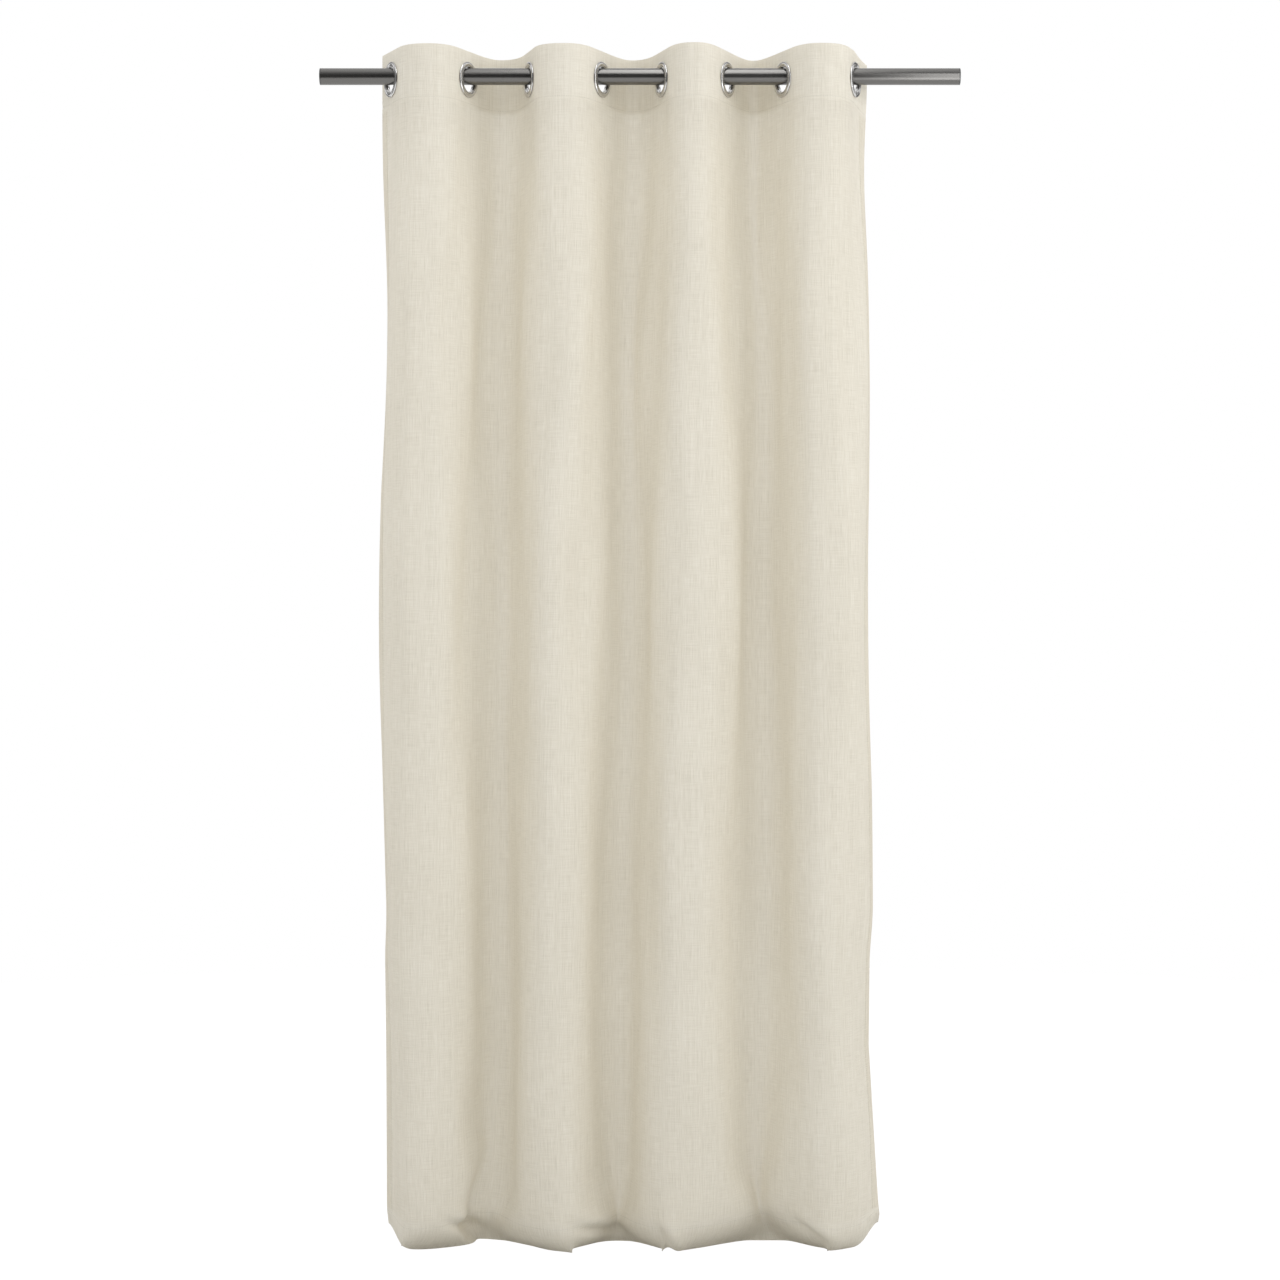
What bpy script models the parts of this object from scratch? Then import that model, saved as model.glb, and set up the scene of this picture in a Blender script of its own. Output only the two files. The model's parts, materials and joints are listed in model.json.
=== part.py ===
"""Eyelet curtain hanging in soft folds on a straight steel rod.

Metres, +Z up. The rod runs along X, the face of the cloth looks to -Y, and the
origin is on the rod's axis, halfway along it. The cloth is one panel on the real
curtain. Here it is made as one section for each eyelet, hinged to the next along
the fold line between them, so that the folds can close and open.
"""
import math

import bmesh
import bpy
from mathutils import Matrix, Vector

OBJECT_NAME = "eyelet_curtain"

# Rod and the plugs that close its ends.
ROD_TUBE_LENGTH = 1.078
ROD_DIAMETER = 0.028
ROD_WALL = 0.0012
CAP_THICKNESS = 0.0015
CAP_PLUG_LENGTH = 0.014
CAP_CHAMFER = 0.0004
FIT_GAP = 0.0003

# Cloth panel.
CLOTH_BETWEEN_EYELETS = 0.194
CLOTH_EDGE_MARGIN = 0.045
CLOTH_THICKNESS = 0.0012
HEADING_ABOVE_FLANGE = 0.018
HEM_LEVEL = -1.985
FOLD_LINE_GAP = 0.001

# Eyelets along the rod: how far each fold is drawn open, as the distance between its
# two eyelets over the cloth between them, and the cloth's angle to the front at each.
FIRST_EYELET_X = -0.420
FOLD_OPENNESS = (0.665, 0.536, 0.629, 0.526, 0.567, 0.490, 0.624)
EYELET_SPACINGS = tuple(share * CLOTH_BETWEEN_EYELETS for share in FOLD_OPENNESS)
EYELET_ANGLES = tuple(math.radians(a) for a in (65, 64, 73, 64, 71, 66, 66, 70))

# Stiffening tape behind the top of the cloth.
TAPE_WIDTH = 0.088
TAPE_THICKNESS = 0.0008
TAPE_BELOW_TOP = 0.002
TAPE_END_INSET = 0.002

# Eyelet: a domed front flange with a barrel, and a ring that locks it from behind.
BORE_CLEARANCE = 0.012
EYELET_BORE = ROD_DIAMETER + BORE_CLEARANCE
FLANGE_WIDTH = 0.010
EYELET_OUTER_DIAMETER = EYELET_BORE + 2 * FLANGE_WIDTH
EYELET_DOME = 0.003
BARREL_WALL = 0.0022
BARREL_FLARE = 0.0012
BACK_RING_THICKNESS = 0.0022
HOLE_CLEARANCE = 0.0005
FLAT_AROUND_EYELET = 0.002
# The eyelets hang free of the rod by this much when they stand most slanted on it.
SEAT_GAP = 0.0003
WIDEST_TILT = math.radians(6)

ROD_SEGMENTS = 32
RING_SEGMENTS = 24
BEND_STEPS = 7
BISECTION_STEPS = 40


def clear_scene():
    for old in list(bpy.data.objects):
        bpy.data.objects.remove(old, do_unlink=True)


def new_collection(name):
    collection = bpy.data.collections.new(name)
    bpy.context.scene.collection.children.link(collection)
    return collection


def principled(name, colour, roughness, metallic):
    material = bpy.data.materials.new(name)
    material.use_nodes = True
    shader = material.node_tree.nodes["Principled BSDF"]
    shader.inputs["Base Color"].default_value = (*colour, 1.0)
    shader.inputs["Roughness"].default_value = roughness
    shader.inputs["Metallic"].default_value = metallic
    return material


def mesh_object(name, bm, material, collection, parent=None):
    mesh = bpy.data.meshes.new(name)
    bm.to_mesh(mesh)
    bm.free()
    mesh.materials.append(material)
    piece = bpy.data.objects.new(name, mesh)
    piece.parent = parent
    collection.objects.link(piece)
    return piece


def turned(name, profile, closed, segments, material, collection, parent=None):
    """Turn a profile of (radius, height) points about local Z."""
    bm = bmesh.new()
    points = [bm.verts.new((radius, 0.0, height)) for radius, height in profile]
    for first, second in zip(points, points[1:]):
        bm.edges.new((first, second))
    if closed:
        bm.edges.new((points[-1], points[0]))
    piece = mesh_object(name, bm, material, collection, parent)
    screw = piece.modifiers.new("turn", 'SCREW')
    screw.angle = 2 * math.pi
    screw.steps = segments
    screw.render_steps = segments
    screw.use_merge_vertices = True
    screw.merge_threshold = 0.00001
    screw.use_smooth_shade = True
    return piece


# The rod and its end caps

def rod_tube(material, collection):
    outer = ROD_DIAMETER / 2
    inner = outer - ROD_WALL
    half = ROD_TUBE_LENGTH / 2
    profile = [(outer, half), (outer, -half), (inner, -half), (inner, half)]
    tube = turned("rod_tube", profile, True, ROD_SEGMENTS, material, collection)
    tube.rotation_euler = (0.0, math.radians(90), 0.0)
    return tube


def end_cap(name, side, material, collection):
    """A flush cap: a disc as wide as the tube, with a plug that fits inside it."""
    rim = ROD_DIAMETER / 2
    plug = rim - ROD_WALL - FIT_GAP
    profile = [
        (0.0, CAP_THICKNESS),
        (rim - CAP_CHAMFER, CAP_THICKNESS),
        (rim, CAP_THICKNESS - CAP_CHAMFER),
        (rim, 0.0),
        (plug, 0.0),
        (plug, CAP_CHAMFER - CAP_PLUG_LENGTH),
        (plug - CAP_CHAMFER, -CAP_PLUG_LENGTH),
        (0.0, -CAP_PLUG_LENGTH),
    ]
    cap = turned(name, profile, False, ROD_SEGMENTS, material, collection)
    cap.location.x = side * (ROD_TUBE_LENGTH / 2 + FIT_GAP)
    cap.rotation_euler = (0.0, side * math.radians(90), 0.0)
    return cap


# Where the eyelets and the fold lines stand, seen from above

def eyelet_positions():
    positions = [FIRST_EYELET_X]
    for spacing in EYELET_SPACINGS:
        positions.append(positions[-1] + spacing)
    return positions


def half_fold(half_pitch, depth, angle):
    """Points from an eyelet, at (0, 0), to the fold line, at (half_pitch, depth).

    The cloth runs straight under the eyelet's flange at the eyelet's own angle,
    then bends on a smooth curve until it lies level at the fold line.
    """
    flat = EYELET_OUTER_DIAMETER / 2 + FLAT_AROUND_EYELET
    start = Vector((math.cos(angle), math.sin(angle))) * flat
    corner = Vector((depth / math.tan(angle), depth))
    end = Vector((half_pitch, depth))
    points = [Vector((0.0, 0.0))]
    for step in range(BEND_STEPS + 1):
        t = step / BEND_STEPS
        points.append(start * (1 - t) ** 2 + corner * 2 * t * (1 - t) + end * t ** 2)
    return points


def chain_length(points):
    return sum((b - a).length for a, b in zip(points, points[1:]))


def fold_depth(pitch, left_angle, right_angle):
    """Depth at which the cloth between two eyelets comes out at its real length."""
    shallow = 0.0
    deep = CLOTH_BETWEEN_EYELETS / 2
    for _ in range(BISECTION_STEPS):
        depth = (shallow + deep) / 2
        left = half_fold(pitch / 2, depth, left_angle)
        right = half_fold(pitch / 2, depth, right_angle)
        if chain_length(left) + chain_length(right) < CLOTH_BETWEEN_EYELETS:
            shallow = depth
        else:
            deep = depth
    return depth


def fold_lines():
    """(x, y) of each fold line. The first fold stands to the front, at -Y."""
    lines = []
    for i, pitch in enumerate(EYELET_SPACINGS):
        depth = fold_depth(pitch, EYELET_ANGLES[i], EYELET_ANGLES[i + 1])
        side = -1 if i % 2 == 0 else 1
        lines.append((eyelet_positions()[i] + pitch / 2, side * depth))
    return lines


def cloth_direction(index):
    """Unit vector along the cloth at an eyelet, towards +X."""
    angle = EYELET_ANGLES[index]
    side = -1 if index % 2 == 0 else 1
    return Vector((math.cos(angle), side * math.sin(angle)))


def section_chain(index, fold_inset, edge_inset):
    """Middle of the cloth from one end of a section to the other, from above.

    An end stops short of the fold line, or of the panel's side edge, by its inset.
    """
    x = eyelet_positions()[index]
    lines = fold_lines()
    side = -1 if index % 2 == 0 else 1
    centre = Vector((x, 0.0))
    along = cloth_direction(index)
    chain = [centre]
    if index < len(lines):
        pitch = EYELET_SPACINGS[index]
        bend = half_fold(pitch / 2, abs(lines[index][1]), EYELET_ANGLES[index])
        ahead = [Vector((x + p.x, side * p.y)) for p in bend[1:]]
        ahead[-1].x -= fold_inset
        chain = chain + ahead
    else:
        chain = chain + [centre + along * (CLOTH_EDGE_MARGIN - edge_inset)]
    if index > 0:
        pitch = EYELET_SPACINGS[index - 1]
        bend = half_fold(pitch / 2, abs(lines[index - 1][1]), EYELET_ANGLES[index])
        behind = [Vector((x - p.x, -side * p.y)) for p in bend[1:]]
        behind[-1].x += fold_inset
        chain = behind[::-1] + chain
    else:
        chain = [centre - along * (CLOTH_EDGE_MARGIN - edge_inset)] + chain
    return chain


def moved_back(chain, distance):
    """The same chain moved towards the back of the cloth, square to it."""
    moved = []
    for i, point in enumerate(chain):
        before = chain[max(i - 1, 0)]
        after = chain[min(i + 1, len(chain) - 1)]
        along = (after - before).normalized()
        moved.append(point + Vector((-along.y, along.x)) * distance)
    return moved


# How low the eyelets hang on the rod

def hang_drop():
    """Depth of the eyelets' centres below the rod's axis.

    A slanted bore looks like an ellipse along the rod. Its top comes to rest on
    the rod, and the narrowest ellipse, at the widest tilt, sets the depth.
    """
    radius = EYELET_BORE / 2
    rod = ROD_DIAMETER / 2
    tilt = math.radians(90) - min(EYELET_ANGLES) + WIDEST_TILT
    width = radius * math.cos(tilt)
    shift = waist_behind_centre() * math.sin(tilt)
    drops = []
    for degrees in range(0, 90):
        x = rod * math.sin(math.radians(degrees))
        z = rod * math.cos(math.radians(degrees))
        reach = (x + shift) / width
        if reach < 1:
            drops.append(radius * math.sqrt(1 - reach ** 2) - z)
    return min(drops) - SEAT_GAP


def waist_behind_centre():
    """How far the narrow part of the bore reaches behind the eyelet's centre."""
    return CLOTH_THICKNESS / 2 + FIT_GAP + TAPE_THICKNESS


# The pieces of one section of the curtain

def strip(name, chain, low, high, thickness, material, collection):
    """An upright sheet that follows a chain of points, given its thickness."""
    bm = bmesh.new()
    base = [bm.verts.new((p.x, p.y, low)) for p in chain]
    edges = [bm.edges.new(pair) for pair in zip(base, base[1:])]
    raised = bmesh.ops.extrude_edge_only(bm, edges=edges)["geom"]
    tops = [item for item in raised if isinstance(item, bmesh.types.BMVert)]
    bmesh.ops.translate(bm, verts=tops, vec=(0.0, 0.0, high - low))
    piece = mesh_object(name, bm, material, collection)
    solid = piece.modifiers.new("thickness", 'SOLIDIFY')
    solid.thickness = thickness
    solid.offset = 0.0
    solid.use_even_offset = True
    return piece


def cut_hole(piece, cutter):
    cut = piece.modifiers.new("eyelet_hole", 'BOOLEAN')
    cut.operation = 'DIFFERENCE'
    cut.solver = 'EXACT'
    cut.object = cutter


def eyelet_matrix(index):
    """Eyelet's place: local Z is square to the cloth and looks to the front."""
    along = cloth_direction(index)
    front = Vector((along.y, -along.x, 0.0))
    turn = front.to_track_quat('Z', 'Y').to_matrix().to_4x4()
    place = Vector((eyelet_positions()[index], 0.0, -hang_drop()))
    return Matrix.Translation(place) @ turn


def hole_cutter(index, collection):
    radius = EYELET_BORE / 2 + BARREL_WALL + HOLE_CLEARANCE
    depth = EYELET_OUTER_DIAMETER / 2
    bpy.ops.mesh.primitive_cylinder_add(vertices=RING_SEGMENTS, radius=radius, depth=depth)
    cutter = bpy.context.object
    cutter.name = f"hole_cutter_{index + 1}"
    cutter.matrix_world = eyelet_matrix(index)
    cutter.hide_render = True
    cutter.display_type = 'WIRE'
    for owner in list(cutter.users_collection):
        owner.objects.unlink(cutter)
    collection.objects.link(cutter)
    return cutter


def eyelet_front(index, material, collection):
    """Domed flange on the cloth's face, with the barrel that passes the hole."""
    outer = EYELET_OUTER_DIAMETER / 2
    bore = EYELET_BORE / 2
    face = CLOTH_THICKNESS / 2 + FIT_GAP
    back = -(waist_behind_centre() + FIT_GAP + BACK_RING_THICKNESS)
    lip = bore + BARREL_WALL + BARREL_FLARE
    profile = [
        (outer, face),
        (bore + BARREL_WALL, face),
        (bore + BARREL_WALL, back),
        (bore + BARREL_FLARE, back),
        (bore, -waist_behind_centre()),
        (bore, CLOTH_THICKNESS / 2),
        (bore + BARREL_FLARE, face + EYELET_DOME * 0.6),
        (lip, face + EYELET_DOME),
        ((lip + outer) / 2, face + EYELET_DOME * 0.9),
        (outer - EYELET_DOME * 0.3, face + EYELET_DOME * 0.4),
    ]
    ring = turned(f"eyelet_front_{index + 1}", profile, True, RING_SEGMENTS, material, collection)
    ring.matrix_world = eyelet_matrix(index)
    return ring


def eyelet_back(index, material, collection):
    """Locking ring around the barrel, behind the tape."""
    outer = EYELET_OUTER_DIAMETER / 2
    inner = EYELET_BORE / 2 + BARREL_WALL + FIT_GAP
    face = -(waist_behind_centre() + FIT_GAP)
    chamfer = BACK_RING_THICKNESS / 2
    profile = [
        (outer, face),
        (outer, face - chamfer),
        (outer - chamfer, face - BACK_RING_THICKNESS),
        (inner, face - BACK_RING_THICKNESS),
        (inner, face),
    ]
    ring = turned(f"eyelet_back_{index + 1}", profile, True, RING_SEGMENTS, material, collection)
    ring.matrix_world = eyelet_matrix(index)
    return ring


def hinge_place(index):
    """Upright axis that a section turns on: its eyelet, or the fold line before it."""
    if index == 0:
        return Vector((eyelet_positions()[0], 0.0, 0.0))
    x, y = fold_lines()[index - 1]
    return Vector((x, y, 0.0))


def hang_from(piece, hinge):
    """Parent a piece that is already in place to its hinge's empty."""
    piece.parent = hinge
    piece.matrix_parent_inverse = Matrix.Translation(-hinge.location)


def curtain_section(index, materials, parts, cutters):
    """Cloth, tape and eyelet that turn together about one upright axis."""
    number = index + 1
    hinge = bpy.data.objects.new(f"section_{number}", None)
    hinge.location = hinge_place(index)
    parts.objects.link(hinge)
    top = EYELET_OUTER_DIAMETER / 2 + HEADING_ABOVE_FLANGE - hang_drop()
    cutter = hole_cutter(index, cutters)

    chain = section_chain(index, FOLD_LINE_GAP / 2, 0.0)
    cloth = strip(f"cloth_section_{number}", chain, HEM_LEVEL, top, CLOTH_THICKNESS,
                  materials["cloth"], parts)
    cut_hole(cloth, cutter)

    back = CLOTH_THICKNESS / 2 + FIT_GAP + TAPE_THICKNESS / 2
    tape_chain = moved_back(section_chain(index, TAPE_END_INSET, TAPE_END_INSET), back)
    tape_top = top - TAPE_BELOW_TOP
    tape = strip(f"heading_tape_{number}", tape_chain, tape_top - TAPE_WIDTH, tape_top,
                 TAPE_THICKNESS, materials["tape"], parts)
    cut_hole(tape, cutter)

    front = eyelet_front(index, materials["chrome"], parts)
    ring = eyelet_back(index, materials["chrome"], parts)
    for piece in (cloth, tape, front, ring):
        hang_from(piece, hinge)


def build():
    clear_scene()
    parts = new_collection(OBJECT_NAME)
    cutters = new_collection("cutters")
    materials = {
        "steel": principled("brushed_nickel_tube", (0.32, 0.32, 0.33), 0.32, 1.0),
        "cap": principled("dark_cap_plastic", (0.10, 0.10, 0.11), 0.45, 0.0),
        "cloth": principled("ecru_linen", (0.72, 0.67, 0.55), 0.90, 0.0),
        "tape": principled("white_heading_tape", (0.80, 0.79, 0.76), 0.85, 0.0),
        "chrome": principled("polished_eyelet", (0.80, 0.80, 0.82), 0.10, 1.0),
    }
    rod_tube(materials["steel"], parts)
    end_cap("end_cap_left", -1, materials["cap"], parts)
    end_cap("end_cap_right", 1, materials["cap"], parts)
    for index in range(len(EYELET_ANGLES)):
        curtain_section(index, materials, parts, cutters)


build()
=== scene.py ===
import json
import math

import bmesh
import bpy
import numpy as np
from mathutils import Matrix, Vector


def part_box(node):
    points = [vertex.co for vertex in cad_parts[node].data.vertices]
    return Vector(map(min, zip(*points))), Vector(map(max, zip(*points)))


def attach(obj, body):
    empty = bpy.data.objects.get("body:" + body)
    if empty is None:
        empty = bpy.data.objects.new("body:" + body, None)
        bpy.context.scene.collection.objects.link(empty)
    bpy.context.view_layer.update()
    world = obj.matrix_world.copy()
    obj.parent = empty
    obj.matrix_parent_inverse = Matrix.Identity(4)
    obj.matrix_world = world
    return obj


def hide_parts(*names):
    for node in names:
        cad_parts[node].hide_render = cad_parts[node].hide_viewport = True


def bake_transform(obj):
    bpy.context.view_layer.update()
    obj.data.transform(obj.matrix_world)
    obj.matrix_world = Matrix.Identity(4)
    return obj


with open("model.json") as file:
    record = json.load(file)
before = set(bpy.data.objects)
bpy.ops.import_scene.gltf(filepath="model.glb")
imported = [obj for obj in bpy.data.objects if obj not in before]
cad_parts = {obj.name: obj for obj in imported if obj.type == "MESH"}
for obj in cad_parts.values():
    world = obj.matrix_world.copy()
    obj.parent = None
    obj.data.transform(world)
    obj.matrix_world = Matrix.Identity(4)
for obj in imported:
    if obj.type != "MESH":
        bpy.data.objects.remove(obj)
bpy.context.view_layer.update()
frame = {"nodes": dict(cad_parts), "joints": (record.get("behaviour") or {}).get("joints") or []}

# ---------------------------------------------------------------- Curtain rod
# One straight steel tube, 28 mm across, nickel plated and brushed along its
# length. The brushing leaves fine streaks that run with the tube. Brackets
# would carry it near its ends.

rod_low, rod_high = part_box("rod_tube")
ROD_RADIUS = (rod_high.z - rod_low.z) / 2
ROD_WALL = 0.0012
ROD_EDGE = 0.0003
ROD_SIDES = 128


def turned(name, profile, sides):
    """Turns a closed (radius, height) outline about Z into a solid of its own."""
    bm = bmesh.new()
    points = [bm.verts.new((radius, 0.0, height)) for radius, height in profile]
    edges = [bm.edges.new(pair) for pair in zip(points, points[1:] + points[:1])]
    bmesh.ops.spin(bm, geom=points + edges, cent=(0, 0, 0), axis=(0, 0, 1),
                   angle=2 * math.pi, steps=sides, use_merge=True)
    bmesh.ops.remove_doubles(bm, verts=bm.verts, dist=0.000002)
    bmesh.ops.dissolve_degenerate(bm, edges=bm.edges, dist=0.000002)
    bmesh.ops.recalc_face_normals(bm, faces=bm.faces)
    mesh = bpy.data.meshes.new(name)
    bm.to_mesh(mesh)
    bm.free()
    mesh.shade_smooth()
    mesh.set_sharp_from_angle(angle=math.radians(50))
    piece = bpy.data.objects.new(name, mesh)
    bpy.context.scene.collection.objects.link(piece)
    return piece


def arc(centre_r, centre_z, radius_r, radius_z, start, stop, steps):
    """Points of an elliptical arc in a turned outline, angles in degrees."""
    angles = np.radians(np.linspace(start, stop, steps + 1))
    return [(centre_r + radius_r * math.cos(a), centre_z + radius_z * math.sin(a)) for a in angles]


def new_material(name):
    """A new material with its nodes and their links."""
    material = bpy.data.materials.new(name)
    material.use_nodes = True
    return material, material.node_tree.nodes, material.node_tree.links


def set_inputs(node, **values):
    """Gives inputs of a node their values. In a name, _ stands for a space."""
    for name, value in values.items():
        node.inputs[name.replace("_", " ")].default_value = value


def two_tones(nodes, links, share, first, second):
    """A colour that a texture varies between two."""
    tone = nodes.new("ShaderNodeMix")
    tone.data_type = 'RGBA'
    set_inputs(tone, A=(*first, 1), B=(*second, 1))
    links.new(share, tone.inputs["Factor"])
    return tone.outputs["Result"]


def in_range(nodes, links, value, low, high, from_low=0.0, from_high=1.0):
    """A value stretched so that it runs from low to high."""
    spread = nodes.new("ShaderNodeMapRange")
    set_inputs(spread, From_Min=from_low, From_Max=from_high, To_Min=low, To_Max=high)
    links.new(value, spread.inputs["Value"])
    return spread.outputs["Result"]


def brushed_nickel(name, colour, roughness):
    """Satin nickel with fine streaks along X and a few broad smears."""
    material, nodes, links = new_material(name)
    shader = nodes["Principled BSDF"]
    set_inputs(shader, Metallic=1.0, Anisotropic=0.35)
    place = nodes.new("ShaderNodeTexCoord")
    stretch = nodes.new("ShaderNodeMapping")
    set_inputs(stretch, Scale=(5.0, 2200.0, 2200.0))
    links.new(place.outputs["Object"], stretch.inputs["Vector"])
    streaks = nodes.new("ShaderNodeTexNoise")
    set_inputs(streaks, Scale=1.0, Detail=3.0)
    links.new(stretch.outputs["Vector"], streaks.inputs["Vector"])
    smears = nodes.new("ShaderNodeTexNoise")
    set_inputs(smears, Scale=9.0, Detail=4.0)
    links.new(place.outputs["Object"], smears.inputs["Vector"])
    darker, lighter = [c * 0.93 for c in colour], [c * 1.07 for c in colour]
    tone = two_tones(nodes, links, streaks.outputs["Fac"], darker, lighter)
    links.new(tone, shader.inputs["Base Color"])
    both = nodes.new("ShaderNodeMath")
    both.operation = 'ADD'
    links.new(streaks.outputs["Fac"], both.inputs[0])
    links.new(smears.outputs["Fac"], both.inputs[1])
    rough = in_range(nodes, links, both.outputs["Value"], roughness - 0.03, roughness + 0.04, 0.6, 1.4)
    links.new(rough, shader.inputs["Roughness"])
    bump = nodes.new("ShaderNodeBump")
    set_inputs(bump, Strength=0.15, Distance=0.00002)
    links.new(streaks.outputs["Fac"], bump.inputs["Height"])
    links.new(bump.outputs["Normal"], shader.inputs["Normal"])
    return material


rod_nickel = brushed_nickel("brushed_nickel_rod", (0.172, 0.168, 0.162), 0.27)
half_rod = (rod_high.x - rod_low.x) / 2
rod_inside = ROD_RADIUS - ROD_WALL
rod_outline = (
    arc(ROD_RADIUS - ROD_EDGE, half_rod - ROD_EDGE, ROD_EDGE, ROD_EDGE, 90, 0, 3)
    + [(ROD_RADIUS, half_rod * share) for share in (0.6, 0.2, -0.2, -0.6)]
    + arc(ROD_RADIUS - ROD_EDGE, ROD_EDGE - half_rod, ROD_EDGE, ROD_EDGE, 0, -90, 3)
    + [(rod_inside, -half_rod), (rod_inside, half_rod)]
)
rod = turned("curtain_rod", rod_outline, ROD_SIDES)
rod.data.transform(Matrix.Rotation(math.radians(90), 4, 'Y'))
rod.data.materials.append(rod_nickel)
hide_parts("rod_tube")
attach(rod, "rod")

# ------------------------------------------------------------------- End caps
# Each cut end of the rod is closed by a flush turned disc with a plug that
# grips the inside of the tube. The disc is faced on a lathe, so its finish
# runs in fine rings.


def faced_metal(name, colour):
    """Nickel with the fine rings that a lathe leaves."""
    material, nodes, links = new_material(name)
    shader = nodes["Principled BSDF"]
    set_inputs(shader, Metallic=1.0)
    place = nodes.new("ShaderNodeTexCoord")
    rings = nodes.new("ShaderNodeTexWave")
    rings.wave_type = 'RINGS'
    rings.rings_direction = 'X'
    set_inputs(rings, Scale=500.0, Distortion=1.5)
    links.new(place.outputs["Object"], rings.inputs["Vector"])
    rough = in_range(nodes, links, rings.outputs["Fac"], 0.30, 0.42)
    links.new(rough, shader.inputs["Roughness"])
    darker, lighter = [c * 0.9 for c in colour], [c * 1.1 for c in colour]
    tone = two_tones(nodes, links, rings.outputs["Fac"], darker, lighter)
    links.new(tone, shader.inputs["Base Color"])
    return material


cap_metal = faced_metal("faced_nickel_cap", (0.19, 0.19, 0.19))
CAP_FIT = 0.0003
CAP_ROUNDING = 0.0005
for side, node in ((-1, "end_cap_left"), (1, "end_cap_right")):
    cap_low, cap_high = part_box(node)
    cap_length = cap_high.x - cap_low.x
    disc = abs(cap_high.x if side > 0 else cap_low.x) - half_rod - CAP_FIT
    plug_radius = rod_inside - CAP_FIT
    cap_outline = (
        [(0.0, disc)]
        + arc(ROD_RADIUS - CAP_ROUNDING, disc - CAP_ROUNDING, CAP_ROUNDING, CAP_ROUNDING, 90, 0, 4)
        + [(ROD_RADIUS, 0.0), (plug_radius, 0.0)]
        + [(plug_radius, disc - cap_length + CAP_ROUNDING)]
        + [(plug_radius - CAP_ROUNDING, disc - cap_length), (0.0, disc - cap_length)]
    )
    cap = turned(f"rod_{node}", cap_outline, ROD_SIDES)
    place = Matrix.Translation((side * (half_rod + CAP_FIT), 0, 0))
    cap.data.transform(place @ Matrix.Rotation(side * math.radians(90), 4, 'Y'))
    cap.data.materials.append(cap_metal)
    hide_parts(node)
    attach(cap, "rod")

# -------------------------------------------------------------------- Eyelets
# Eight two-part eyelets of pressed and plated steel. The front part has a
# rounded flange and a barrel that goes through the cloth, and the back part is
# a ring that snaps around the barrel and clamps the cloth between them.

EYELETS = range(1, 9)
CLOTH_FACE = 0.0009
BACK_FACE = 0.0020
FLANGE_RISE = 0.0030
BARREL_RADIUS = 0.0222
BARREL_WALL = 0.0022
BACK_RING_RISE = 0.0022
FLANGE_BAND = 0.0072
EYELET_SIDES = 96


def eyelet_place(number):
    """Centre and axes of an eyelet. Local Z looks out of the cloth's face."""
    centres = []
    for half in ("front", "back"):
        vertices = frame["nodes"][f"eyelet_{half}_{number}"].data.vertices
        centres.append(sum((v.co for v in vertices), Vector()) / len(vertices))
    out = (centres[0] - centres[1]).normalized()
    low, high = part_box(f"eyelet_front_{number}")
    centre = centres[0] - out * (centres[0].y / out.y)
    centre.z = (low.z + high.z) / 2
    return centre, out


def eyelet_matrix(number):
    """Turns and moves a ring that was made about Z to its eyelet's place."""
    centre, out = eyelet_place(number)
    turn = out.to_track_quat('Z', 'Y').to_matrix().to_4x4()
    return Matrix.Translation(centre) @ turn


def polished_nickel(name):
    """Bright nickel with a faint haze."""
    material, nodes, links = new_material(name)
    shader = nodes["Principled BSDF"]
    set_inputs(shader, Metallic=1.0)
    place = nodes.new("ShaderNodeTexCoord")
    haze = nodes.new("ShaderNodeTexNoise")
    set_inputs(haze, Scale=60.0, Detail=5.0)
    links.new(place.outputs["Object"], haze.inputs["Vector"])
    rough = in_range(nodes, links, haze.outputs["Fac"], 0.08, 0.17, 0.3, 0.7)
    links.new(rough, shader.inputs["Roughness"])
    tone = two_tones(nodes, links, haze.outputs["Fac"], (0.60, 0.59, 0.58), (0.70, 0.695, 0.69))
    links.new(tone, shader.inputs["Base Color"])
    return material


eyelet_nickel = polished_nickel("polished_nickel_eyelet")
front_low, front_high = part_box("eyelet_front_1")
FLANGE_RADIUS = (front_high.z - front_low.z) / 2
BORE_RADIUS = BARREL_RADIUS - BARREL_WALL

front_outline = (
    [(FLANGE_RADIUS - 0.0004, CLOTH_FACE)]
    + arc(FLANGE_RADIUS - FLANGE_BAND / 2, CLOTH_FACE + 0.0004, FLANGE_BAND / 2,
          FLANGE_RISE - 0.0004, 0, 168, 14)
    + arc(BORE_RADIUS + BARREL_WALL, CLOTH_FACE + 0.0010, 0.0010, 0.0012, 50, 170, 7)
    + [(BORE_RADIUS + 0.0006, 0.0014), (BORE_RADIUS, 0.0006), (BORE_RADIUS, -0.0016)]
    + [(BORE_RADIUS + 0.0007, -0.0030), (BORE_RADIUS + 0.0013, -0.0040)]
    + [(BARREL_RADIUS, -BACK_FACE - 0.0023), (BARREL_RADIUS, CLOTH_FACE)]
)
back_outline = (
    [(BARREL_RADIUS + 0.0003, -BACK_FACE), (BARREL_RADIUS + 0.0003, -BACK_FACE - 0.0016)]
    + arc(BARREL_RADIUS + 0.0013, -BACK_FACE - 0.0014, 0.0010, BACK_RING_RISE - 0.0014, 190, 270, 4)
    + arc(FLANGE_RADIUS - 0.0016, -BACK_FACE - 0.0006, 0.0016, BACK_RING_RISE - 0.0006, 270, 360, 7)
    + [(FLANGE_RADIUS, -BACK_FACE)]
)
for number in EYELETS:
    for half, outline in (("front", front_outline), ("back", back_outline)):
        ring = turned(f"eyelet_ring_{half}_{number}", outline, EYELET_SIDES)
        ring.data.transform(eyelet_matrix(number))
        ring.data.materials.append(eyelet_nickel)
        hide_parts(f"eyelet_{half}_{number}")
        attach(ring, f"section_{number}")

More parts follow.
